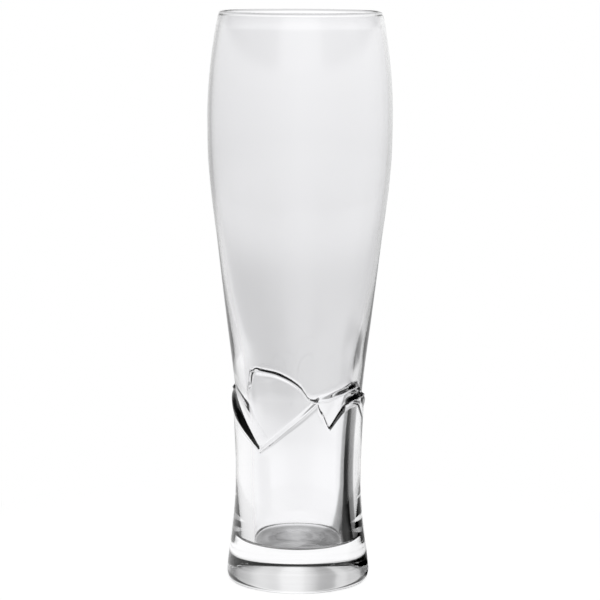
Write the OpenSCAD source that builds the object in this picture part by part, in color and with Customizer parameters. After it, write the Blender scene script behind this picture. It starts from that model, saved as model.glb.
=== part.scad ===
// Tall weizen glass, pressed and blown in one piece.
// A slim bowl swells to a belly and draws in to the rim. Below it a thick-walled stem
// with a narrow inner tube stands on a heavy solid foot. Where bowl and stem meet, two
// waves cross along the front and the sides and enclose leaves: an upper line rises in
// humps, a lower line falls in points, and a leaf ends where the lines meet. One wave is
// a soft rounded rib, the lower edge of a large leaf and the upper edge of the small one
// after it. The other is a crisp step. Towards the back the waves fade away.

/* [Overall] */
// Height from the table to the top of the rim
glass_h = 250; // [240:1:265]

/* [Bowl] */
// Outside diameter just below the rim's bead
rim_d = 70.4; // [66:0.2:76]
// Outside diameter at the belly
belly_d = 80.4; // [77:0.2:86]
// Height of the belly's widest place
belly_z = 203; // [190:1:212]
// Outside diameter where the bowl runs down behind the waves
neck_d = 55; // [52:0.2:57]
// Wall of the bowl at the belly and above
wall = 1.8; // [1.4:0.1:2.4]
// Wall at the foot of the bowl, behind the waves
heavy_wall = 4.7; // [4:0.1:5.2]
// Radius of the rounded bead at the rim
bead_r = 1.25; // [0.8:0.05:1.5]

/* [Stem] */
// Outside diameter at the waist, the narrowest place of the stem
waist_d = 55.2; // [52:0.2:57]
// Height of the waist
waist_z = 44; // [36:1:50]
// Outside diameter at the top of the stem, under the waves
stem_top_d = 57.7; // [56.8:0.1:58.6]
// Diameter of the narrow inner tube
tube_d = 40.6; // [36:0.2:42]
// Height where the inner tube begins to widen
tube_top_z = 45; // [38:1:56]
// Radius between the inner tube and its floor
floor_corner_r = 2.6; // [1.6:0.2:8]

/* [Foot] */
// Outside diameter at the widest place of the foot
foot_d = 62.8; // [60:0.2:68]
// Height of the widest place of the foot
foot_z = 4.6; // [3:0.2:8]
// Diameter of the flat ring that the glass stands on
seat_d = 59; // [56:0.2:59.6]
// Thickness of solid glass under the inner tube
floor_t = 19.2; // [14:0.2:26]
// Diameter of the hollow under the foot
hollow_d = 47; // [36:0.5:50]
// Depth of the hollow under the foot
hollow_h = 1.2; // [0.6:0.1:3]

/* [Waves and leaves] */
// Height where the two lines meet
band_z = 83; // [80:0.5:88]
// Rise of the highest hump above that height
hump_h = 13.6; // [10:0.2:16]
// Drop of the lowest point below that height
point_h = 22.4; // [16:0.2:24]
// Height of the slope that the rib takes along a large leaf's lower line
ledge_h = 3.4; // [2:0.1:4]
// Extra slope height on the long falling side of a large leaf
scoop_h = 4.2; // [0:0.1:5]
// Width of the rib along a small leaf's upper line
rib_w = 3.6; // [2:0.1:4]
// Height of the rib's crest
rib_h = 0.8; // [0.4:0.1:1.1]
// How far a large leaf lies inside the stem at its lower line
leaf_drop = 0.6; // [0.2:0.1:0.9]
// How far a large leaf stands off the bowl at its highest hump
leaf_rise = 0.95; // [0.5:0.05:1.2]
// How far a small leaf stands off the stem at its lower line
crisp_rise = 0.8; // [0.4:0.1:1]
// Height of the crisp step at a small leaf's lower line
crisp_h = 1.8; // [1:0.1:2.4]
// Height of the crisp step at a large leaf's upper line
step_h = 2; // [1.2:0.1:2.6]
// Height of the fine bead on the crisp step of a large leaf
fine_bead_h = 0.9; // [0.3:0.1:1]

/* [Hidden] */

rim_r = rim_d / 2;
belly_r = belly_d / 2;
neck_r = neck_d / 2;
waist_r = waist_d / 2;
stem_top_r = stem_top_d / 2;
tube_r = tube_d / 2;
foot_r = foot_d / 2;
seat_r = seat_d / 2;
hollow_r = hollow_d / 2;

// Points along each stretch of the section, and columns round the ring of waves
edge_steps = 6;
stem_steps = 9;
waist_steps = 4;
bowl_steps = 16;
top_steps = 10;
wall_steps = 18;
tube_steps = 8;
bead_steps = 8;
ring_stem_steps = 3;
ring_ledge_steps = 4;
ring_leaf_steps = 2;
ring_step_steps = 3;
ring_bowl_steps = 2;
band_columns = 120;
turn_fn = 120;
// Angle at which the rim's bead leaves the wall
bead_start = -20;
// How early the rib's crest comes across its width
crest_share = 0.5;

// Fall of the foot's flare from its widest place up to the waist
foot_share = [[0, 1], [0.14, 0.84], [0.3, 0.62], [0.48, 0.38], [0.65, 0.2], [0.83, 0.07], [1, 0]];
// Rise from the waist up to the top of the stem
stem_share = [[0, 0], [0.17, 0.035], [0.34, 0.17], [0.52, 0.4], [0.69, 0.64], [0.86, 0.86], [1, 1]];
// Rise from the neck up to the belly
bowl_share = [[0, 0], [0.12, 0.135], [0.23, 0.27], [0.45, 0.525], [0.57, 0.66], [0.68, 0.797],
    [0.78, 0.905], [0.89, 0.982], [1, 1]];
// Fall of the wall's thickness from the waves up to the belly
wall_share = [[0, 1], [0.06, 0.995], [0.12, 0.94], [0.18, 0.76], [0.25, 0.52], [0.33, 0.32],
    [0.42, 0.17], [0.53, 0.08], [0.67, 0.03], [0.85, 0.01], [1, 0]];
// Widening of the inner tube up to the waves
tube_share = [[0, 0], [0.2, 0.06], [0.4, 0.2], [0.6, 0.43], [0.8, 0.72], [1, 1]];

// Leaves, large and small in turn, each from one meeting of the two lines to the next:
// where it ends as a share of a full turn after the first meeting
first_meeting = -103.5;
leaf_end_share = [0, 0.3333, 0.4848, 0.8181, 1];
// Upper and lower line of a large leaf, along the leaf
large_hump_share = [[0, 0.03], [0.06, 0.15], [0.16, 0.34], [0.27, 0.4], [0.38, 0.23], [0.452, 0.03],
    [0.462, 0.05], [0.478, 0.5], [0.505, 0.86], [0.55, 1], [0.62, 0.985], [0.69, 0.945], [0.765, 0.82],
    [0.835, 0.62], [0.87, 0.47], [0.9, 0.27], [0.925, 0.13], [0.955, 0.06], [1, 0.03]];
large_point_share = [[0, 0], [0.12, 0.14], [0.25, 0.42], [0.38, 0.63], [0.47, 0.79], [0.54, 0.94],
    [0.565, 1], [0.59, 0.95], [0.69, 0.74], [0.77, 0.55], [0.87, 0.32], [0.96, 0.1], [1, 0]];
large_scoop_share = [[0, 0], [0.12, 0.4], [0.28, 1], [0.42, 0.5], [0.54, 0], [1, 0]];
// How far a large leaf stands off the bowl at its upper line, and how much of a leaf is
// left where its upper line leaps up
large_rise_share = [[0, -0.32], [0.4, -0.32], [0.458, 0], [0.6, 1], [1, 1]];
large_part_share = [[0, 1], [0.38, 1], [0.458, 0], [0.6, 1], [1, 1]];
// Upper and lower line of a small leaf, along the leaf
small_hump_share = [[0, 0.03], [0.15, 0.08], [0.33, 0.17], [0.5, 0.24], [0.66, 0.32], [0.84, 0.35],
    [0.93, 0.2], [1, 0.03]];
small_point_share = [[0, 0], [0.03, 0.12], [0.1, 0.25], [0.19, 0.48], [0.21, 0.5], [0.24, 0.46],
    [0.38, 0.24], [0.52, 0.08], [0.7, 0.03], [1, 0]];

// Shares of a turn between which the waves fade at one side and come back at the other
fade_share = [0.5, 0.62, 0.94, 1];

// Smooth curve through a table of points, flat at its turning points, so it never overshoots
function chord(t, i) = (t[i + 1].y - t[i].y) / (t[i + 1].x - t[i].x);
function middle_slope(a, b) = a * b <= 0 ? 0 : 2 * a * b / (a + b);
function slope(t, i) =
    i == 0 ? chord(t, 0) :
    i == len(t) - 1 ? chord(t, i - 1) :
    middle_slope(chord(t, i - 1), chord(t, i));
function stretch(t, x, i = 0) = i >= len(t) - 2 || x < t[i + 1].x ? i : stretch(t, x, i + 1);
function curve(t, x) =
    let (i = stretch(t, x), w = t[i + 1].x - t[i].x, u = (x - t[i].x) / w)
    t[i].y * (1 + 2 * u) * pow(1 - u, 2) + t[i + 1].y * pow(u, 2) * (3 - 2 * u)
    + w * (slope(t, i) * u * pow(1 - u, 2) - slope(t, i + 1) * pow(u, 2) * (1 - u));

// Outside radius of the stem and of the bowl at a height
function stem_radius(z) = z < waist_z
    ? waist_r + (foot_r - waist_r) * curve(foot_share, (z - foot_z) / (waist_z - foot_z))
    : waist_r + (stem_top_r - waist_r) * curve(stem_share, (z - waist_z) / (band_z - waist_z));
function bowl_radius(z) = z < belly_z
    ? neck_r + (belly_r - neck_r) * curve(bowl_share, (z - band_z) / (belly_z - band_z))
    : belly_r - (belly_r - rim_r) * pow((z - belly_z) / (glass_h - belly_z), 2);

// Thickness of the bowl's wall at a height, and the radius inside. Under the waves the
// inside narrows gently down to the inner tube.
function wall_at(z) = z < belly_z
    ? wall + (heavy_wall - wall) * curve(wall_share, (z - band_z) / (belly_z - band_z))
    : wall;
function tube_radius(z) = tube_r + (neck_r - heavy_wall - tube_r)
    * curve(tube_share, max(0, (z - tube_top_z) / (band_z - tube_top_z)));
function inner_radius(z) = z < band_z ? tube_radius(z) : bowl_radius(z) - wall_at(z);

// The ring of waves reaches from just under the lowest point to over the highest hump.
// The turned body necks in behind the ring, and the ring laps its ends by a hair. Both
// stay inside the wall, at shares of its thickness.
ring_foot_z = band_z - point_h - ledge_h;
ring_top_z = band_z + hump_h + 2 * ledge_h;
ring_lap = 0.06;
ring_inset = 0.5;
core_share = 0.4;
behind_share = 0.2;
function in_wall(z, share) = z < band_z
    ? stem_radius(z) - (stem_radius(z) - inner_radius(z)) * share
    : bowl_radius(z) - wall_at(z) * share;

// Half section of the turned body, from the middle of the hollow round the outside to
// the rim, and down the inside to the middle of the floor
hollow_points = [for (i = [0 : edge_steps]) let (u = i / edge_steps)
    [hollow_r * u, hollow_h * pow(1 - pow(u, 2), 2)]];
edge_points = [for (i = [0 : edge_steps]) let (a = 90 * i / edge_steps)
    [seat_r + (foot_r - seat_r) * sin(a), foot_z * (1 - cos(a))]];
flare_points = [for (i = [1 : stem_steps])
    let (z = foot_z + (waist_z - foot_z) * i / stem_steps) [stem_radius(z), z]];
waist_points = [for (i = [1 : waist_steps])
    let (z = waist_z + (ring_foot_z + ring_inset - waist_z) * i / waist_steps) [stem_radius(z), z]];
behind_points = [
    [in_wall(ring_foot_z, behind_share), ring_foot_z + 2 * ring_inset],
    [in_wall(band_z, behind_share), band_z],
    [in_wall(ring_top_z, behind_share), ring_top_z - 2 * ring_inset]
];
bowl_points = [for (i = [0 : bowl_steps])
    let (z = ring_top_z - ring_inset + (belly_z - ring_top_z + ring_inset) * i / bowl_steps)
    [bowl_radius(z), z]];
bead_z = glass_h - bead_r;
bead_mid_r = rim_r - wall / 2;
bead_foot_z = bead_z - bead_r;
top_points = [for (i = [1 : top_steps])
    let (z = belly_z + (bead_foot_z - belly_z) * i / top_steps) [bowl_radius(z), z]];
bead_points = [for (i = [0 : bead_steps]) let (a = bead_start + (180 - 2 * bead_start) * i / bead_steps)
    [bead_mid_r + bead_r * cos(a), bead_z + bead_r * sin(a)]];
inner_points = [for (i = [top_steps : -1 : 1])
    let (z = belly_z + (bead_foot_z - belly_z) * i / top_steps) [inner_radius(z), z]];
taper_points = [for (i = [wall_steps : -1 : 0])
    let (z = band_z + (belly_z - band_z) * i / wall_steps) [inner_radius(z), z]];
tube_points = [for (i = [tube_steps - 1 : -1 : 0])
    let (z = tube_top_z + (band_z - tube_top_z) * i / tube_steps) [inner_radius(z), z]];
corner_points = [for (i = [0 : edge_steps]) let (a = 90 * i / edge_steps)
    [tube_r - floor_corner_r + floor_corner_r * cos(a), floor_t + floor_corner_r * (1 - sin(a))]];
section = concat(hollow_points, edge_points, flare_points, waist_points, behind_points,
    bowl_points, top_points, bead_points, inner_points, taper_points, tube_points, corner_points,
    [[0, floor_t]]);

// Which leaf an angle falls in, and how far along it
function leaf_of(s, i = 0) =
    i >= len(leaf_end_share) - 2 || s < leaf_end_share[i + 1] ? i : leaf_of(s, i + 1);
function along(s) = let (i = leaf_of(s))
    (s - leaf_end_share[i]) / (leaf_end_share[i + 1] - leaf_end_share[i]);
function is_large(s) = leaf_of(s) % 2 == 0;

// Heights of the two lines at a share of a turn, never closer than a hair
least_h = ledge_h / 8;
function upper_line(s) = max(band_z + least_h, band_z
    + hump_h * curve(is_large(s) ? large_hump_share : small_hump_share, along(s)));
function lower_line(s) = min(band_z - 2 * least_h, band_z
    - point_h * curve(is_large(s) ? large_point_share : small_point_share, along(s)));
function lower_edge_h(s) = is_large(s) ? ledge_h + scoop_h * curve(large_scoop_share, along(s)) : crisp_h;
function upper_edge_h(s) = is_large(s) ? step_h : rib_w;

// How far the waves have faded at a share of a turn, and the plain outside that they fade
// into: a cubic from stem to bowl with the slopes of both
function within(u) = min(1, max(0, u));
function eased(u) = pow(within(u), 2) * (3 - 2 * within(u));
function ramp(from, to, s) = eased((s - from) / (to - from));
function faded(s) = ramp(fade_share[0], fade_share[1], s) - ramp(fade_share[2], fade_share[3], s);
ring_h = ring_top_z - ring_foot_z;
stem_lean = (stem_radius(ring_foot_z) - stem_radius(ring_foot_z - ring_inset)) / ring_inset;
bowl_lean = (bowl_radius(ring_top_z + ring_inset) - bowl_radius(ring_top_z)) / ring_inset;
function plain_radius(z) =
    let (u = (z - ring_foot_z) / ring_h)
    stem_radius(ring_foot_z) + (bowl_radius(ring_top_z) - stem_radius(ring_foot_z)) * eased(u)
    + ring_h * (stem_lean * u * pow(1 - u, 2) - bowl_lean * pow(u, 2) * (1 - u));
// Level of a leaf, between its own level at the lower line and that at the upper line
function low_level(s) = stem_radius(lower_line(s)) + (is_large(s) ? -leaf_drop : crisp_rise);
function high_level(s) = is_large(s)
    ? bowl_radius(upper_line(s)) + leaf_rise * curve(large_rise_share, along(s))
    : stem_top_r + crisp_rise / 3;
function leaf_part(s) = is_large(s) ? curve(large_part_share, along(s)) : 1;
function leaf_radius(s, z) =
    let (
        up = within((z - lower_line(s)) / (upper_line(s) - lower_line(s))),
        level = low_level(s) + (high_level(s) - low_level(s)) * up,
        behind = bowl_radius(max(z, band_z))
    )
    behind + (level - behind) * leaf_part(s);

// Outside radius of the ring at a share of a turn and a height: stem under the lower line,
// leaf between the lines, bowl over the upper line, and a rib or bead along each edge
function rib(u) = pow(sin(180 * pow(within(u), crest_share)), 2);
function wave_radius(s, z) =
    let (
        low_u = (z - lower_line(s)) / lower_edge_h(s),
        high_u = (z - upper_line(s)) / upper_edge_h(s),
        stem = stem_radius(min(z, band_z)),
        bowl = bowl_radius(max(z, band_z)),
        leaf = leaf_radius(s, z),
        level = stem + (leaf - stem) * eased(low_u) + (bowl - leaf) * eased(high_u),
        ribs = is_large(s) ? rib_h * rib(low_u) + fine_bead_h * rib(high_u) : rib_h * rib(high_u),
        full = level + ribs
    )
    ring_lap + full + (plain_radius(z) - full) * faded(s);

// Section of the ring at a share of a turn, with rows along both edges of the leaf
function rows(from, to, steps) = [for (i = [1 : steps]) from + (to - from) * i / steps];
function ring_section(s) =
    let (
        low = lower_line(s),
        high = upper_line(s),
        ledge_top = min(low + lower_edge_h(s), high - least_h),
        step_top = high + upper_edge_h(s),
        heights = concat(
            [ring_foot_z],
            rows(ring_foot_z, low, ring_stem_steps),
            rows(low, ledge_top, ring_ledge_steps),
            rows(ledge_top, high, ring_leaf_steps),
            rows(high, step_top, ring_step_steps),
            rows(step_top, ring_top_z, ring_bowl_steps)
        )
    )
    [
        [in_wall(ring_foot_z, core_share), ring_foot_z],
        for (z = heights) [wave_radius(s, z), z],
        [in_wall(ring_top_z, core_share), ring_top_z],
        [in_wall(band_z, core_share), band_z]
    ];

// Closed skin over a ring of sections
module skin(rings) {
    n = len(rings);
    m = len(rings[0]);
    faces = [for (i = [0 : n - 1]) for (j = [0 : m - 1])
        let (
            near = i * m,
            far = (i + 1) % n * m,
            k = (j + 1) % m
        )
        each [[near + j, near + k, far + k], [near + j, far + k, far + j]]];
    polyhedron(points = [for (r = rings) each r], faces = faces, convexity = 10);
}

module waves() {
    skin([for (i = [0 : band_columns - 1])
        let (s = i / band_columns, a = first_meeting + 360 * s - 90)
        [for (p = ring_section(s)) [p.x * cos(a), p.x * sin(a), p.y]]]);
}

module glass() {
    color([0.84, 0.92, 0.94, 0.55])
    union() {
        rotate_extrude($fn = turn_fn) polygon(section);
        waves();
    }
}

glass();
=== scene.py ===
# %% [markdown]
# # A tall weizen glass
# A weizen glass is one piece of clear glass: a slim bowl that swells to a belly, two waves
# that cross round its lower end and enclose leaves, a thick-walled stem and a heavy solid
# foot. A screw modifier could turn its profile, but the waves differ at every angle. So
# this lesson works out one closed surface with numpy, gives it the finish of fire-polished
# glass, and lights it as a studio does, where clear glass is drawn by what shows through
# its walls.

# %% The fixed frame and the size it gives
import math

import bpy
import numpy as np
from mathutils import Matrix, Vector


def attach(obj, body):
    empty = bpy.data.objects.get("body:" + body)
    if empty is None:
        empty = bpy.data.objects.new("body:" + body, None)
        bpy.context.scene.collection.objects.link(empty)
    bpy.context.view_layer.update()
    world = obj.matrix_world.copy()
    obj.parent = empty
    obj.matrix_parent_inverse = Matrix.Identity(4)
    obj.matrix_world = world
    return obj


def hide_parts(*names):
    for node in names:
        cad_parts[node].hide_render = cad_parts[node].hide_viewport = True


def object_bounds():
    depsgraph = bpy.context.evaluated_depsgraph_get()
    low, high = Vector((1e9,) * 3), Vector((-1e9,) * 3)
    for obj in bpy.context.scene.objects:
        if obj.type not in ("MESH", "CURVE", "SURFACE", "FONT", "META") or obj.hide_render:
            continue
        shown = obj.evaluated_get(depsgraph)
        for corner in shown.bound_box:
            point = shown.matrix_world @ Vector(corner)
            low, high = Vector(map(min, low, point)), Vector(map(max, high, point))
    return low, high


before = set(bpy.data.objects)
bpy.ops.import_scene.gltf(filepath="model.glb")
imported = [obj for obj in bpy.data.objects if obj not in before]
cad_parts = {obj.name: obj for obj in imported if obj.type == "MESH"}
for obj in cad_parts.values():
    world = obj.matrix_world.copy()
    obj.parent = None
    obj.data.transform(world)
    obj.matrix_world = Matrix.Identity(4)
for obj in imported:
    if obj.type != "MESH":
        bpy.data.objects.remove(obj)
cad_lo, cad_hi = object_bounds()
mm = 0.001
glass_h = cad_hi.z / mm
belly_r = cad_hi.x / mm
print("glass", round(glass_h, 1), "mm tall and", round(2 * belly_r, 1), "mm across")

# %% [markdown]
# ## The section's sizes
# The glass was blown into a mould that turns true round its axis, so apart from the waves
# one half section says everything. The sizes were measured in the photograph. They are in
# millimetres, as on a maker's drawing, and turn to metres when the mesh is made.

# %% Bowl, from the rim down
rim_r = 35.2
bead_r = 0.95
belly_z = 203
neck_r = 27.5
wall = 1.8
heavy_wall = 4.7
print("belly", round(2 * belly_r, 1), "mm wide at", belly_z, "mm, rim", 2 * rim_r, "mm wide")

# %% Stem with its inner tube
stem_top_r = 28.85
waist_r = 27.6
waist_z = 44
tube_r = 20.3
tube_top_z = 45
floor_corner_r = 1.6
print("wall of the stem", round(waist_r - tube_r, 1), "mm thick at the waist")

# %% Foot
foot_r = 31.4
foot_z = 4.6
seat_r = 29.5
floor_t = 17.2
hollow_r = 23.5
hollow_h = 1.2
print("foot", 2 * foot_r, "mm wide on a ring", seat_r - hollow_r, "mm broad")

# %% Height at which the waves cross
band_z = 83
print("waves cross at", round(band_z / glass_h, 2), "of the height")

# %% [markdown]
# ## A smooth curve through a few shares
# Each stretch of the section is drawn through a short table of shares. A Bezier curve or a
# plain spline would swing past its points. A cubic between each pair of points, flat at
# every turning point, never overshoots, so a wall never bulges where the mould had no
# bulge. Running a short average over the result takes out the small changes of curvature
# that would show as lines in polished glass.


# %% The curve
def curve(table, x):
    """Cubic Hermite curve through the table's points, with the harmonic mean of the two
    neighbouring chords as each point's slope, or none where the chords turn."""
    px, py = np.array(table, float).T
    chord = np.diff(py) / np.diff(px)
    before, after = chord[:-1], chord[1:]
    turns = before * after <= 0
    middle = np.where(turns, 0, 2 * before * after / np.where(turns, 1, before + after))
    slope = np.concatenate([chord[:1], middle, chord[-1:]])
    i = np.clip(np.searchsorted(px, x, side="right") - 1, 0, len(px) - 2)
    w = px[i + 1] - px[i]
    u = (x - px[i]) / w
    value = py[i] * (1 + 2 * u) * (1 - u) ** 2 + py[i + 1] * u**2 * (3 - 2 * u)
    return value + w * (slope[i] * u * (1 - u) ** 2 - slope[i + 1] * u**2 * (1 - u))


def eased(table, x, reach=0.03):
    """The curve averaged over a short reach either side, so that its curvature runs on
    smoothly. The ends are mirrored through their own values and stay where they are."""
    taps = np.linspace(-reach, reach, 13)
    weight = np.cos(taps / reach * math.pi / 2) ** 2
    total = 0
    for tap, w in zip(taps, weight):
        at = np.asarray(x, float) + tap
        inside = np.clip(at, 0, 1)
        value = curve(table, inside)
        mirrored = 2 * value - curve(table, 2 * inside - at)
        total = total + w * np.where(at == inside, value, mirrored)
    return total / weight.sum()


def smooth_step(u):
    """From 0 to 1 with level ends: three times the square less twice the cube."""
    u = np.clip(u, 0, 1)
    return u**2 * (3 - 2 * u)


print("half way along, a table gives", round(float(eased([[0, 0], [0.5, 0.3], [1, 1]], 0.5)), 3))

# %% [markdown]
# ## Outside and inside of the wall
# The foot flares out below the waist, the stem widens slowly up to the waves, and the bowl
# runs from the neck behind the waves to the belly, then draws in along a parabola. The
# wall is thin in the bowl and thickens quickly behind the waves, where the inside runs
# into a narrow tube.

# %% Shares
foot_share = [[0, 1], [0.14, 0.84], [0.3, 0.62], [0.48, 0.38], [0.65, 0.2], [0.83, 0.07], [1, 0]]
stem_share = [[0, 0], [0.17, 0.035], [0.34, 0.17], [0.52, 0.4], [0.69, 0.64], [0.86, 0.86], [1, 1]]
bowl_share = [
    [0, 0], [0.12, 0.135], [0.23, 0.27], [0.45, 0.525], [0.57, 0.66], [0.68, 0.797],
    [0.78, 0.905], [0.89, 0.982], [1, 1],
]
wall_share = [
    [0, 1], [0.06, 0.995], [0.12, 0.94], [0.18, 0.76], [0.25, 0.52], [0.33, 0.32],
    [0.42, 0.17], [0.53, 0.08], [0.67, 0.03], [0.85, 0.01], [1, 0],
]
tube_share = [[0, 0], [0.08, 0.006], [0.2, 0.05], [0.4, 0.2], [0.6, 0.43], [0.8, 0.72], [1, 1]]
place, swell = np.array(bowl_share).T
half_z = band_z + float(np.interp(0.5, swell, place)) * (belly_z - band_z)
print("the bowl has half its swell at", round(half_z), "mm")


# %% Radii
def stem_radius(z):
    """Outside radius below the waves: the waist's, and a share of the flare down to the
    foot's widest place or of the rise up to the top of the stem."""
    down = np.clip((z - foot_z) / (waist_z - foot_z), 0, 1)
    up = np.clip((z - waist_z) / (band_z - waist_z), 0, 1)
    flare = waist_r + (foot_r - waist_r) * eased(foot_share, down)
    rise = waist_r + (stem_top_r - waist_r) * eased(stem_share, up)
    return np.where(z < waist_z, flare, rise)


def bowl_radius(z):
    """Outside radius of the bowl: an eased curve up to the belly, a parabola above it."""
    up = np.clip((z - band_z) / (belly_z - band_z), 0, 1)
    over = np.clip((z - belly_z) / (glass_h - belly_z), 0, 1)
    return neck_r + (belly_r - neck_r) * eased(bowl_share, up) - (belly_r - rim_r) * over**2


def inner_radius(z):
    """Radius inside: the bowl's outside less a wall that thins towards the belly, and
    below the waves a gentle narrowing down to the tube."""
    up = np.clip((z - band_z) / (belly_z - band_z), 0, 1)
    bowl = bowl_radius(z) - wall - (heavy_wall - wall) * eased(wall_share, up, 0.015)
    below = np.clip((z - tube_top_z) / (band_z - tube_top_z), 0, 1)
    tube = tube_r + (neck_r - heavy_wall - tube_r) * eased(tube_share, below)
    return np.where(z < band_z, tube, bowl)


heights = np.linspace(floor_t, glass_h, 4000)
radii = inner_radius(heights)
litres = np.cumsum(math.pi * radii**2) * (heights[1] - heights[0]) / 1e6
print("holds", round(float(litres[-1]), 3), "l to the brim, half a litre at",
      round(float(np.interp(0.5, litres, heights))), "mm")

# %% [markdown]
# ## The two lines of the waves
# Two waves are pressed into the glass by the mould. Seen from outside they make an upper
# line that rises in humps and a lower line that falls in points, and where the lines meet
# a leaf ends. Large and small leaves take turns round the glass. Each line is again a
# table of shares, along the leaf and of the waves' whole rise and drop.

# %% Where each leaf begins and ends
first_meeting = math.radians(-103.5)
leaf_end_share = np.array([0, 0.3333, 0.4848, 0.8181, 1])


def along_leaf(s):
    """For a share of a turn: how far along its leaf it is, as its way past the leaf's
    start over the leaf's length, and whether the leaf is large."""
    found = np.searchsorted(leaf_end_share, s, side="right") - 1
    leaf = np.clip(found, 0, len(leaf_end_share) - 2)
    start, end = leaf_end_share[leaf], leaf_end_share[leaf + 1]
    return (s - start) / (end - start), leaf % 2 == 0


def by_kind(s, large_share, small_share):
    """The large leaves' table or the small leaves' table, read along the leaf."""
    u, large = along_leaf(s)
    return np.where(large, curve(large_share, u), curve(small_share, u))


widths = np.round(np.diff(leaf_end_share) * 360)
print("leaves", len(widths), "that take", [int(w) for w in widths], "degrees")

# %% The upper line
hump_h = 13.6
large_hump_share = [
    [0, 0.03], [0.06, 0.15], [0.16, 0.34], [0.27, 0.4], [0.38, 0.23], [0.452, 0.03],
    [0.462, 0.05], [0.478, 0.5], [0.505, 0.86], [0.55, 1], [0.62, 0.985], [0.69, 0.945],
    [0.765, 0.82], [0.835, 0.62], [0.87, 0.47], [0.9, 0.27], [0.925, 0.13], [0.955, 0.06],
    [1, 0.03],
]
small_hump_share = [
    [0, 0.03], [0.15, 0.08], [0.33, 0.17], [0.5, 0.24], [0.66, 0.32], [0.84, 0.35],
    [0.93, 0.2], [1, 0.03],
]


def upper_line(s):
    """Height of the upper line: the level of the meetings and a share of the humps' rise."""
    return band_z + hump_h * by_kind(s, large_hump_share, small_hump_share)


print("upper line up to", round(float(upper_line(np.linspace(0, 1, 999)).max()), 1), "mm")

# %% The lower line
point_h = 22.4
large_point_share = [
    [0, 0], [0.12, 0.14], [0.25, 0.42], [0.38, 0.63], [0.47, 0.79], [0.54, 0.94],
    [0.565, 1], [0.59, 0.95], [0.69, 0.74], [0.77, 0.55], [0.87, 0.32], [0.96, 0.1], [1, 0],
]
small_point_share = [
    [0, 0], [0.03, 0.12], [0.1, 0.25], [0.19, 0.48], [0.21, 0.5], [0.24, 0.46],
    [0.38, 0.24], [0.52, 0.08], [0.7, 0.03], [1, 0],
]


def lower_line(s):
    """Height of the lower line: the level of the meetings less a share of the points' drop."""
    return band_z - point_h * by_kind(s, large_point_share, small_point_share)


print("lower line down to", round(float(lower_line(np.linspace(0, 1, 999)).min()), 1), "mm")

# %% [markdown]
# ## Columns that crowd where the lines are steep
# A grid with even columns would cut a steep line into stairs, and a finer grid all round
# would be heavy. So the columns are spaced evenly along the lines themselves: where a line
# climbs, more columns share the climb.

# %% Column angles
columns = 440
band_r = 29.8
fine = np.linspace(0, 1, 20001)
arc = 2 * math.pi * band_r
climb_up = np.gradient(upper_line(fine), fine) / arc
climb_down = np.gradient(lower_line(fine), fine) / arc
density = np.sqrt(1 + climb_up**2 + climb_down**2)
length = np.concatenate([[0], np.cumsum((density[1:] + density[:-1]) / 2)])
turn = np.interp(np.linspace(0, length[-1], columns + 1)[:-1], length, fine)
angle = first_meeting - math.pi / 2 + 2 * math.pi * turn
print("columns", columns, "from", round(360 * float(np.diff(turn).min()), 2), "to",
      round(360 * float(np.diff(turn).max()), 2), "degrees apart")

# %% [markdown]
# ## A soft wave and a crisp wave
# Below the lower line the outside is the stem, above the upper line it is the bowl, and
# between them lies the leaf. The waves differ. One is a soft rounded rib: the lower edge
# of a large leaf that goes on as the upper edge of a small one. The other is crisp, a step
# with a fine bead: the upper edge of a large leaf and the lower edge of a small one. So
# every size of an edge is a blend of the small leaf's and the large leaf's, which change
# over a short way where the lines meet.

# %% How large the leaf is at each column
meeting_w = 0.006
largeness = np.zeros(columns)
for number, meeting in enumerate(leaf_end_share[:-1]):
    crossed = smooth_step((turn - meeting + meeting_w) / (2 * meeting_w))
    largeness = largeness + (-1) ** number * crossed
leaf_u, is_large = along_leaf(turn)


def between_kinds(small, large):
    """The small leaf's value, the large leaf's, or the blend of both at a meeting."""
    return small + (large - small) * largeness


print("columns in large leaves", int((largeness > 0.5).sum()), "of", columns)

# %% [markdown]
# ## The lower edge
# Along a large leaf the soft wave slopes gently, and most of all in a scoop on its long
# falling side. Along a small leaf the crisp wave cuts a fine groove down to the point and
# round it, and turns into a broader bead on its way up again. One rib makes both: where
# its height is below zero, it is the groove.

# %% Height of the lower edge's slope
ledge_h = 3.4
scoop_h = 4.2
large_scoop_share = [[0, 0], [0.12, 0.4], [0.28, 1], [0.42, 0.5], [0.54, 0], [1, 0]]
crisp_low_h = [[0, 1.5], [0.42, 1.5], [0.58, 3.4], [1, 3.4]]
meeting_low_h = 1.8
low = np.minimum(lower_line(turn), band_z)
scoop = ledge_h + np.where(is_large, scoop_h * curve(large_scoop_share, leaf_u), 0)
low_h = between_kinds(np.where(is_large, meeting_low_h, curve(crisp_low_h, leaf_u)), scoop)
print("slope from", round(float(low_h.min()), 1), "to", round(float(low_h.max()), 1), "mm high")

# %% Its rib, and how far in the leaf begins
low_rib_h = 0.8
crisp_low_rib = [[0, -1.7], [0.42, -1.7], [0.58, 1], [1, 1]]
meeting_low_rib = 1.2
soft_drop = 0.6
crisp_rib = np.where(is_large, meeting_low_rib, curve(crisp_low_rib, leaf_u))
low_rib = between_kinds(crisp_rib, low_rib_h)
low_level = stem_radius(low) + between_kinds(0, -soft_drop)
print("lower line from", round(float(low.min()), 1), "to", round(float(low.max()), 1), "mm")

# %% [markdown]
# ## The upper edge
# The crisp step is as wide across a steep stretch of line as across a level one, so its
# height grows with the line's climb. In the left part of a large leaf, before the line
# leaps up, there is no bead and the leaf lies flush with the bowl. Towards the right the
# bead grows.

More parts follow.
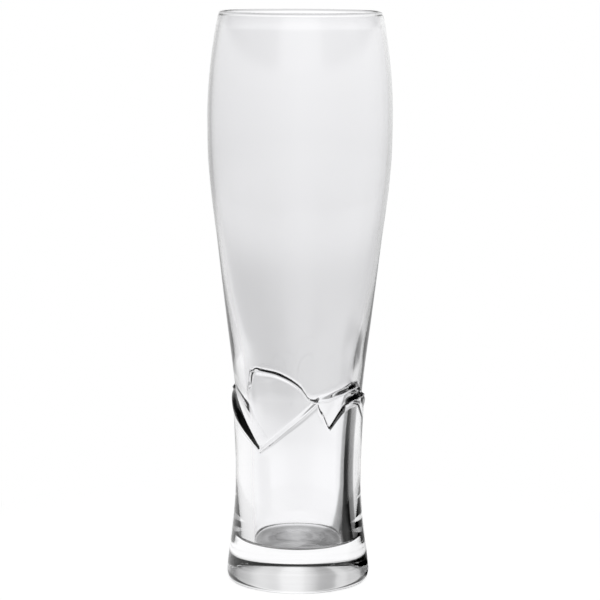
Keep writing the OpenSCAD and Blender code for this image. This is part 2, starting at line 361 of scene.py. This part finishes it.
# %% Height of the upper edge's step
least_leaf_h = 0.4
rib_w = 3.6
crisp_w = 2
crisp_limit_h = 4.5
high = np.maximum(upper_line(turn), band_z + least_leaf_h)
steep = np.sqrt(1 + np.interp(turn, fine, climb_up) ** 2)
high_h = between_kinds(rib_w, np.minimum(crisp_w * steep, crisp_limit_h))
print("step from", round(float(high_h.min()), 1), "to", round(float(high_h.max()), 1), "mm high")

# %% Its bead, and how far the leaf stands proud of the bowl
high_rib_h = 0.9
crisp_bead = 1.9
small_leaf_r = 28.6
leaf_rise = 0.95
bead_share = [[0, 0], [0.45, 0], [0.47, 0], [0.51, 1], [0.75, 1], [0.9, 1.5], [1, 1.5]]
crisp_beads = crisp_bead * np.where(is_large, curve(bead_share, leaf_u), 1)
high_rib = between_kinds(high_rib_h, crisp_beads)
high_level = between_kinds(small_leaf_r, bowl_radius(high) + leaf_rise)
proud_share = [[0, 0], [0.38, 0], [0.45, 0], [0.65, 1], [1, 1]]
proud = np.where(is_large, curve(proud_share, leaf_u), 1)
print("upper line from", round(float(high.min()), 1), "to", round(float(high.max()), 1), "mm")

# %% [markdown]
# ## The plain back
# Towards the back the waves fade away, and bowl and stem run into each other in one curve.
# Cutting the waves off at an angle would leave an edge that clear glass shows from in
# front, so every column is a blend of the waved outside and the plain one.

# %% Where the waves fade
fade_share = [0.5, 0.62, 0.94, 1]
ring_foot_z = band_z - point_h - ledge_h
ring_top_z = band_z + hump_h + 2 * ledge_h


def faded(s):
    """How plain the outside is at a share of a turn: a smooth step up where the front
    ends, less a smooth step down where it begins again."""
    right = smooth_step((s - fade_share[0]) / (fade_share[1] - fade_share[0]))
    left = smooth_step((s - fade_share[2]) / (fade_share[3] - fade_share[2]))
    return right - left


print("plain columns", int((faded(turn) > 0.99).sum()), "of", columns)


# %% The curve behind
def plain_radius(z):
    """The back of the glass: a cubic that leaves the stem and meets the bowl with their
    own slopes."""
    lo, hi, probe = ring_foot_z, ring_top_z, 0.5
    u = np.clip((z - lo) / (hi - lo), 0, 1)
    r0, r1 = stem_radius(lo), bowl_radius(hi)
    m0 = (r0 - stem_radius(lo - probe)) / probe * (hi - lo)
    m1 = (bowl_radius(hi + probe) - r1) / probe * (hi - lo)
    ends = r0 * (1 + 2 * u) * (1 - u) ** 2 + r1 * u**2 * (3 - 2 * u)
    return ends + m0 * u * (1 - u) ** 2 - m1 * u**2 * (1 - u)


print("plain back", round(2 * float(plain_radius(band_z)), 1), "mm across where waves would cross")

# %% [markdown]
# ## The outside by height
# From the stem a smooth step leads into the leaf and another leads out into the bowl, each
# with its rib. It is all one formula, so there is no joint anywhere.

# %% The rib's shape
rib_lean = 0.5


def rib(u):
    """A rounded rib over a share from 0 to 1, whose crest comes early by the lean: the
    square of the sine of half a turn times the share raised to the lean."""
    return np.sin(math.pi * np.clip(u, 0, 1) ** rib_lean) ** 2


print("crest", round(0.5 ** (1 / rib_lean), 2), "of the way up a rib")


# %% Radius of every column at its own heights
def band_radius(z):
    """Stem, leaf or bowl by height, with a smooth step and a rib at both lines, and all
    of it blended into the plain radius towards the back."""
    low_u, high_u = (z - low) / low_h, (z - high) / high_h
    up = np.clip((z - low) / (high - low), 0, 1)
    leaf = low_level + (high_level - low_level) * up
    stem, bowl_r = stem_radius(np.minimum(z, band_z)), bowl_radius(z)
    leaf = bowl_r + (leaf - bowl_r) * proud
    over_low, over_high = smooth_step(low_u), smooth_step(high_u)
    r = stem + (leaf - stem) * over_low + (bowl_r - leaf) * over_high
    r = r + low_rib * rib(low_u) + high_rib * rib(high_u)
    return r + (plain_radius(z) - r) * faded(turn)


# %% Heights of the rows
def between(a, b, rows, start=0):
    """Rows of heights spaced evenly from a to b, one column for each entry of both."""
    u = (np.arange(start, rows) / (rows - 1))[:, None]
    return a + (b - a) * u


ledge_top = np.minimum(low + low_h, high)
step_top = high + high_h
heights = np.concatenate([
    between(np.full(columns, ring_foot_z), low, 10),
    between(low, ledge_top, 17, 1),
    between(ledge_top, high, 14, 1),
    between(high, step_top, 13, 1),
    between(step_top, np.full(columns, ring_top_z), 9, 1),
])
waves = (heights, band_radius(heights))
print("rows through the waves", len(heights), "widest", round(2 * float(waves[1].max()), 1), "mm")

# %% [markdown]
# ## Stretches that turn true
# From the hollow under the foot the section runs outwards over the ring that the glass
# stands on, up the flare to the waves, up the bowl, over the rim's bead, down the inside
# and the tube, and round the corner onto the floor. A bevel or a subdivision would round
# every edge alike, so each edge is drawn with its own radius instead.


# %% Rows of the turned stretches
def turned(z, r):
    """A stretch that is the same all round: one row for each height, repeated over the
    columns."""
    one = np.ones(columns)
    return np.outer(z, one), np.outer(r, one)


print("one row holds", turned([0.0], [1.0])[0].size, "points")

# %% Foot, from the hollow beneath to the waves
u = np.linspace(0, 1, 12)[1:]
hollow = turned(hollow_h * (1 - u**2) ** 2, hollow_r * u)
a = np.linspace(0, math.pi / 2, 12)
edge = turned(foot_z * (1 - np.cos(a)), seat_r + (foot_r - seat_r) * np.sin(a))
z = np.linspace(foot_z, ring_foot_z, 30)[1:-1]
flare = turned(z, stem_radius(z))
print("hollow", hollow_h, "mm deep, foot widest at", foot_z, "mm")

# %% Bowl and the rim's bead
bead_z = glass_h - bead_r
bead_mid_r = rim_r - wall / 2
z = np.linspace(ring_top_z, bead_z - bead_r, 34)[1:]
bowl = turned(z, bowl_radius(z))
a = np.radians(np.linspace(-20, 200, 14))
bead = turned(bead_z + bead_r * np.sin(a), bead_mid_r + bead_r * np.cos(a))
print("bead", 2 * bead_r, "mm thick on a wall of", wall, "mm")

# %% Inside, down to the floor
# The power crowds the rows towards the waves, where the wall changes fastest.
z = band_z + (bead_z - bead_r - band_z) * np.linspace(1, 0, 40) ** 1.5
inside = turned(z, inner_radius(z))
z = np.linspace(band_z, tube_top_z, 12)[1:]
tube = turned(z, inner_radius(z))
a = np.linspace(0, math.pi / 2, 8)
corner = turned(
    floor_t + floor_corner_r * (1 - np.sin(a)), tube_r - floor_corner_r * (1 - np.cos(a))
)
u = np.linspace(1, 0, 6)[1:-1]
floor_rows = turned(np.full(len(u), floor_t), (tube_r - floor_corner_r) * u)
stretches = [hollow, edge, flare, waves, bowl, bead, inside, tube, corner, floor_rows]
print("rows from pole to pole", sum(len(z) for z, r in stretches))

# %% [markdown]
# ## One closed skin
# The glass could be joined from separate pieces, but any face inside the glass would show
# through it. So all the stretches are stacked into one grid of points. A single point
# closes the middle of the hollow under the foot and another the middle of the floor.


# %% The mesh
def skin(name, rows, first_pole, last_pole):
    """Joins rows of points, each a ring, into a closed surface between two poles. A point
    is its radius times the cosine and the sine of its column's angle, at its height."""
    z = np.concatenate([r[0] for r in rows])
    r = np.concatenate([r[1] for r in rows])
    n, m = z.shape
    points = np.stack([r * np.cos(angle), r * np.sin(angle), z], -1).reshape(-1, 3)
    points = np.concatenate([points, [[0, 0, first_pole], [0, 0, last_pole]]]) * mm
    i = np.arange(n - 1)[:, None] * m
    j = np.arange(m)[None, :]
    k = (j + 1) % m
    quads = np.stack([i + j, i + k, i + m + k, i + m + j], -1).reshape(-1, 4)
    j, k = j[0], k[0]
    top = (n - 1) * m
    fans = np.concatenate([
        np.stack([np.full(m, n * m), k, j], -1),
        np.stack([np.full(m, n * m + 1), top + j, top + k], -1),
    ])
    mesh = bpy.data.meshes.new(name)
    mesh.from_pydata(points.tolist(), [], quads.tolist() + fans.tolist())
    mesh.shade_smooth()
    obj = bpy.data.objects.new(name, mesh)
    bpy.context.collection.objects.link(obj)
    return obj


glass_body = skin("glass_body", stretches, hollow_h, floor_t)
mesh = glass_body.data
print("glass_body", len(mesh.vertices), "points,", len(mesh.polygons), "faces")

# %% [markdown]
# ## Fire-polished soda-lime glass
# The glass is clear, with an index of refraction of about 1.52 and a surface that the
# flame has melted smooth, so it has no roughness: the eye sees sharp edges and clean
# reflections. Blowing and pressing leave a faint waviness, longer up the bowl than round
# it. It is too shallow to model, so a bump gives it.


# %% Nodes
def add(tree, kind, settings=(), links=()):
    """Adds one node, sets its values, and links its inputs to other nodes' outputs."""
    node = tree.nodes.new(kind)
    for name, value in dict(settings).items():
        if isinstance(name, int) or name in node.inputs:
            node.inputs[name].default_value = value
        else:
            setattr(node, name, value)
    for name, source in dict(links).items():
        tree.links.new(source, node.inputs[name])
    return node


def linear(code):
    """A colour written as sRGB hex, as the linear values that the shader wants: each part
    over 12.92 near black, and above that the power of 2.4 of (part + 0.055) over 1.055."""
    parts = [int(code[i : i + 2], 16) / 255 for i in (1, 3, 5)]
    return (*[c / 12.92 if c <= 0.04045 else ((c + 0.055) / 1.055) ** 2.4 for c in parts], 1)


print("middle grey as light", round(linear("#808080")[0], 3))

# %% The glass
glass_mat = bpy.data.materials.new("fire_polished_soda_lime_glass")
glass_mat.use_nodes = True
tree = glass_mat.node_tree
shader = tree.nodes["Principled BSDF"]
shader.inputs["Base Color"].default_value = linear("#FDFDFE")
shader.inputs["Roughness"].default_value = 0
shader.inputs["IOR"].default_value = 1.52
shader.inputs["Transmission Weight"].default_value = 1
coords = add(tree, "ShaderNodeTexCoord")
wave_length = 14 * mm
wave_depth = 0.03 * mm
stretched = add(
    tree, "ShaderNodeMapping",
    {"Scale": (1 / wave_length, 1 / wave_length, 0.25 / wave_length)},
    {"Vector": coords.outputs["Object"]},
)
waviness = add(
    tree, "ShaderNodeTexNoise", {"Scale": 1, "Detail": 1, "Roughness": 0.4},
    {"Vector": stretched.outputs["Vector"]},
)
ripple = add(
    tree, "ShaderNodeBump", {"Strength": 1, "Distance": wave_depth},
    {"Height": waviness.outputs["Fac"]},
)
tree.links.new(ripple.outputs["Normal"], shader.inputs["Normal"])
glass_body.data.materials.append(glass_mat)
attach(glass_body, "root")
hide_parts("glass")
print("waviness", round(wave_depth / mm, 2), "mm deep over", round(wave_length / mm), "mm")

# %% [markdown]
# ## Camera
# The picture was taken from a little above the rim, with a long lens, so the rim is a
# thin ellipse and the foot a rounder one. A camera that tracks the glass would be simpler,
# but this one leans by a third of a degree, so its angles are written out.

# %% Camera
photo_side = 600
camera_away = 1.04045
camera_height = 0.28005
focal_px = 2403.6
tilt = math.radians(8.512)
roll = math.radians(0.3)
pan = math.atan(1 / focal_px)
camera = bpy.data.objects.new("camera", bpy.data.cameras.new("camera"))
bpy.context.collection.objects.link(camera)
camera.data.sensor_width = 36
camera.data.lens = focal_px / photo_side * camera.data.sensor_width
camera.location = (0, -camera_away, camera_height)
camera.rotation_mode = "XYZ"
camera.rotation_euler = (math.pi / 2 - tilt, -roll, pan)
bpy.context.scene.camera = camera
print("camera", round(camera_away, 2), "m away with a lens of", round(camera.data.lens), "mm")

# %% [markdown]
# ## A studio that the glass bends into lines
# The glass stands on a white table in a white studio. The camera sees both as plain white,
# with a faint shadow round the foot. The glass sees more: it is drawn only by what its
# walls bend into view. Lamps and cards could stand round it, but each would have to be
# hidden from the camera. So for rays that pass through the glass or bounce off it, the
# studio gets greys by direction as light, and the table glows with painted light by
# direction. Zero degrees is straight away from the camera, and plus is to the right. Each
# stop is a place and its grey, as light and not as a screen value. Near the glass the table
# is painted bright, and painted dimmer towards the camera, which shows as the even grey of
# the floor inside.

# %% The table's painted light by direction, near the glass and further off
near_table_painted_light = [
    (-180, 0.6), (-160, 0.65), (-145, 0.82), (-120, 0.88), (-85, 0.92), (-60, 0.96), (-40, 0.99),
    (40, 1), (120, 0.92), (145, 0.85), (160, 0.65), (180, 0.6),
]
far_table_painted_light = [
    (-180, 0.8), (-120, 0.8), (-60, 0.82), (-46, 0.82), (-34, 0.8), (-26, 0.76), (-21, 0.77),
    (-17, 0.71), (-14, 0.62), (-8, 0.6), (-3, 0.65), (3, 0.73), (8, 0.72), (14, 0.68),
    (26, 0.66), (60, 0.68), (180, 0.8),
]
far_share = [(0, 0), (0.2, 0), (0.26, 0.3), (0.32, 0.75), (0.38, 1), (1.4, 1)]
edge_share = [(0, 0), (0.6, 0), (1.3, 1), (1.4, 1)]
edge_rise = 0.86
print("near table down to", min(grey for at, grey in near_table_painted_light), "and far table down to",
      min(grey for at, grey in far_table_painted_light))

# %% [markdown]
# ## Painted shade on the table
# At the right the table's greys hold painted shade where a slot between backdrop and lamp
# and a black card close to the glass would stop the light; neither stands in the scene. The
# painted shade draws the dark spindle in the stem and the line at the neck. Under the foot a
# painted shadow stands for the glass's own shade, which outlines the floor.

# %% Painted shade of the slot and the card, and the painted shadow under the foot
slot_painted_shade = [
    (-180, 1), (28, 1), (33, 0.6), (37, 0.35), (44, 0.25), (54, 0.2), (78, 0.3), (86, 0.8),
    (94, 1), (180, 1),
]
slot_painted_shade_share = [(0, 1), (0.2, 1), (0.26, 0.6), (0.33, 0), (1.4, 0)]
card_painted_shade = [(-180, 1), (50, 1), (56, 0), (80, 0), (88, 0.15), (94, 0.6), (100, 1), (180, 1)]
card_painted_shade_share = [(0, 1), (0.2, 1), (0.25, 0.6), (0.3, 0), (1.4, 0)]
foot_painted_shadow_share = [(0, 0.25), (0.029, 0.25), (0.033, 1), (1.4, 1)]
print("card from", card_painted_shade[2][0], "to", card_painted_shade[3][0], "degrees at the right")

# %% [markdown]
# ## The studio by direction
# Low down the studio is a pale wall all round, a little darker at the left. Higher up only
# the backdrop and the lamps behind the camera are bright, and both sides are dark, which
# gives the crisp wave its black line. The ceiling is dim, and it shows in the floor.

# %% The wall, what stands above it, and how bright each height is
low_studio = [
    (-180, 1), (-150, 0.9), (-120, 0.78), (-80, 0.72), (-60, 0.72), (-40, 0.72), (-34, 0.66),
    (-28, 0.6), (-22, 0.68), (-16, 0.78), (-10, 0.9), (-4, 0.92), (2, 0.97), (8, 1), (14, 0.95),
    (20, 0.86), (26, 0.82), (40, 0.78), (60, 0.76), (120, 0.8), (150, 0.9), (180, 1),
]
high_studio = [
    (-180, 1.2), (-165, 1.15), (-145, 0.4), (-120, 0.15), (-100, 0.12), (-75, 0.03), (-60, 0.08),
    (-54, 0.2), (-48, 0.48), (-40, 0.54), (-34, 0.56), (-28, 0.67), (-23, 0.6), (-18, 0.4),
    (-14, 0.42), (-10, 0.54), (-4, 0.76), (2, 0.88), (8, 0.85), (14, 0.7), (20, 0.72), (26, 0.66),
    (32, 0.52), (38, 0.44), (44, 0.36), (50, 0.2), (57, 0.05), (65, 0.02), (85, 0.02), (100, 0.2),
    (120, 0.25), (145, 0.5), (165, 1.15), (180, 1.2),
]
rise_grey = [
    (-90, 0.75), (-12, 0.78), (-8, 0.82), (-5.5, 0.88), (-2, 0.96), (2, 1.08), (7, 1.14),
    (13, 1.05), (30, 1.04), (40, 0.9), (52, 0.3), (60, 0.15), (72, 0.45), (90, 0.45),
]
high_share = [(-90, 0), (6, 0), (12, 1), (90, 1)]
print("studio wall up to", high_share[1][0], "degrees, dim above", rise_grey[10][0], "degrees")

# %% [markdown]
# ## Nodes that read a table
# A colour ramp has room for 32 stops, and the upper studio needs more. A float curve takes
# them all, goes smoothly through them, and may rise above 1.


# %% A grey from a table, and an angle to read it by
def profile(tree, value, stops):
    """A smooth grey along a value, through stops of (value, grey): the value becomes a
    share of the table's range, and a curve through the stops gives the grey."""
    lo, hi = stops[0][0], stops[-1][0]
    scaled = add(tree, "ShaderNodeMapRange", {"From Min": lo, "From Max": hi}, {"Value": value})
    node = add(tree, "ShaderNodeFloatCurve", {}, {"Value": scaled.outputs["Result"]})
    node.mapping.use_clip = False
    line = node.mapping.curves[0]
    while len(line.points) < len(stops):
        line.points.new(0.5, 0.5)
    for point, (at, grey) in zip(line.points, stops):
        point.location = ((at - lo) / (hi - lo), grey)
        point.handle_type = "AUTO_CLAMPED"
    node.mapping.update()
    return node.outputs["Value"]


def in_degrees(tree, operation, *values):
    """An angle worked out by one operation, times 180 over pi."""
    node = add(tree, "ShaderNodeMath", {"operation": operation}, dict(enumerate(values)))
    turned_out = add(tree, "ShaderNodeMath", {"operation": "DEGREES"}, {0: node.outputs["Value"]})
    return turned_out.outputs["Value"]


print("stops of the upper studio", len(high_studio), "and of the wall", len(low_studio))

# %% [markdown]
# ## The table
# The table is a board sprayed matt white, which gives the eye a plain white with a soft
# shadow. A bright lamp on it would burn out the glass as well, so only the camera's view
# of it is lifted to the white around. The shadow fades from 60 mm outwards and is gone at
# 200 mm, so no edge of the table shows.

# %% Its painted light by direction, near and far
table_mat = bpy.data.materials.new("sprayed_matt_white_board")
table_mat.use_nodes = True
tree = table_mat.node_tree
coords = add(tree, "ShaderNodeTexCoord").outputs["Object"]
away = add(tree, "ShaderNodeVectorMath", {"operation": "LENGTH"}, {0: coords}).outputs["Value"]
parts = add(tree, "ShaderNodeSeparateXYZ", {}, {"Vector": coords}).outputs
around = in_degrees(tree, "ARCTAN2", parts["X"], parts["Y"])
near, far = profile(tree, around, near_table_painted_light), profile(tree, around, far_table_painted_light)
painted_table_light = add(
    tree, "ShaderNodeMix", {}, {"Factor": profile(tree, away, far_share), "A": near, "B": far}
).outputs["Result"]
print("the far table takes over between", far_share[1][0], "and", far_share[4][0], "m")

# %% Painted shade under the foot, in the slot and on the card
with_painted_shade = add(
    tree, "ShaderNodeMath", {"operation": "MULTIPLY"},
    {0: painted_table_light, 1: profile(tree, away, foot_painted_shadow_share)},
).outputs["Value"]
for grey, share in ((slot_painted_shade, slot_painted_shade_share), (card_painted_shade, card_painted_shade_share)):
    painted_shade_patch = add(
        tree, "ShaderNodeMix", {"A": 1},
        {"Factor": profile(tree, away, share), "B": profile(tree, around, grey)},
    ).outputs["Result"]
    with_painted_shade = add(
        tree, "ShaderNodeMath", {"operation": "MULTIPLY"}, {0: with_painted_shade, 1: painted_shade_patch}
    ).outputs["Value"]
print("darkest", min(grey for at, grey in card_painted_shade + slot_painted_shade), "on the card")

# %% Run into the studio's wall at its edge
at_edge = add(
    tree, "ShaderNodeMath", {"operation": "MULTIPLY", 1: edge_rise},
    {0: profile(tree, around, low_studio)},
).outputs["Value"]
painted_table_greys = add(
    tree, "ShaderNodeMix", {},
    {"Factor": profile(tree, away, edge_share), "A": with_painted_shade, "B": at_edge},
).outputs["Result"]
print("from", edge_share[1][0], "m on, the table turns into", edge_rise, "of the wall")

# %% What the camera sees of the table
shader = tree.nodes["Principled BSDF"]
shader.inputs["Base Color"].default_value = linear("#F4F4F4")
shader.inputs["Roughness"].default_value = 0.9
shader.inputs["Specular IOR Level"].default_value = 0
matt = shader.outputs["BSDF"]
shadow_from, shadow_to = 0.06, 0.2
shadow_lift = 0.78
fade_out = add(
    tree, "ShaderNodeMapRange",
    {"From Min": shadow_from, "From Max": shadow_to, "interpolation_type": "SMOOTHSTEP"},
    {"Value": away},
).outputs["Result"]
lift = add(tree, "ShaderNodeEmission", {"Strength": shadow_lift}).outputs["Emission"]
white = add(tree, "ShaderNodeEmission", {"Strength": 1}).outputs["Emission"]
lit = add(tree, "ShaderNodeAddShader", {}, {0: matt, 1: lift}).outputs["Shader"]
seen = add(tree, "ShaderNodeMixShader", {}, {0: fade_out, 1: lit, 2: white}).outputs["Shader"]
print("shadow gone", round(shadow_to / mm), "mm from the axis")

# %% One surface for each kind of ray
path = add(tree, "ShaderNodeLightPath").outputs
to_camera, by_mirror, by_wall = (
    path["Is Camera Ray"], path["Is Glossy Ray"], path["Is Transmission Ray"],
)
by_glass = add(
    tree, "ShaderNodeMath", {"operation": "MAXIMUM"}, {0: by_mirror, 1: by_wall}
).outputs["Value"]
# For rays through or off the glass the table glows with its painted light and painted shade.
shown = add(tree, "ShaderNodeEmission", {}, {"Strength": painted_table_greys}).outputs["Emission"]
plain = add(tree, "ShaderNodeMixShader", {}, {0: to_camera, 1: matt, 2: seen}).outputs["Shader"]
mixed = add(tree, "ShaderNodeMixShader", {}, {0: by_glass, 1: plain, 2: shown}).outputs["Shader"]
tree.links.new(mixed, tree.nodes["Material Output"].inputs["Surface"])
print("table material with", len(tree.nodes), "nodes")

# %% The table top, a hair below the foot
table_r = 1.4
table_z = -0.00005
spokes = 96
spoke = np.arange(spokes) / spokes * 2 * math.pi
ring = np.stack([table_r * np.cos(spoke), table_r * np.sin(spoke), np.full(spokes, table_z)], -1)
mesh = bpy.data.meshes.new("table")
mesh.from_pydata(ring.tolist(), [], [list(range(spokes))])
table = bpy.data.objects.new("table", mesh)
bpy.context.collection.objects.link(table)
mesh.materials.append(table_mat)
print("table", 2 * table_r, "m across")

# %% [markdown]
# ## The world
# The world is the rest of the studio. A picture of a studio could light it as well, but
# the tables say what each part of the glass needs. Light that crosses the thick foot meets
# many walls, so rays through glass may bounce often, while mirrored ones stop early and
# keep the dark lines dark.

# %% Greys by direction
world = bpy.data.worlds.new("studio")
bpy.context.scene.world = world
world.use_nodes = True
tree = world.node_tree
out = tree.nodes["Background"]
coords = add(tree, "ShaderNodeTexCoord").outputs["Generated"]
parts = add(tree, "ShaderNodeSeparateXYZ", {}, {"Vector": coords}).outputs
rise = in_degrees(tree, "ARCSINE", parts["Z"])
around = in_degrees(tree, "ARCTAN2", parts["X"], parts["Y"])
low_grey, high_grey = profile(tree, around, low_studio), profile(tree, around, high_studio)
by_turn = add(
    tree, "ShaderNodeMix", {},
    {"Factor": profile(tree, rise, high_share), "A": low_grey, "B": high_grey},
).outputs["Result"]
by_direction = add(
    tree, "ShaderNodeMath", {"operation": "MULTIPLY"},
    {0: profile(tree, rise, rise_grey), 1: by_turn},
).outputs["Value"]
print("brightest part of the studio", max(grey for at, grey in high_studio))

# %% White for the camera, and how often a ray may bounce
to_camera = add(tree, "ShaderNodeLightPath").outputs["Is Camera Ray"]
strength = add(
    tree, "ShaderNodeMix", {"B": 1}, {"Factor": to_camera, "A": by_direction}
).outputs["Result"]
tree.links.new(strength, out.inputs["Strength"])
out.inputs["Color"].default_value = (1, 1, 1, 1)
bounces = 40
bpy.context.scene.cycles.max_bounces = bounces
bpy.context.scene.cycles.transmission_bounces = bounces
print("studio with", len(tree.nodes), "nodes, up to", bounces, "bounces")

# %% [markdown]
# ## Look
# The Standard view shows a grey as it was written, where a film-like view would bend it.
# The dressed glass has to stay inside the box of the plain one.

# %% Look
bpy.context.scene.view_settings.view_transform = "Standard"
bpy.context.view_layer.update()
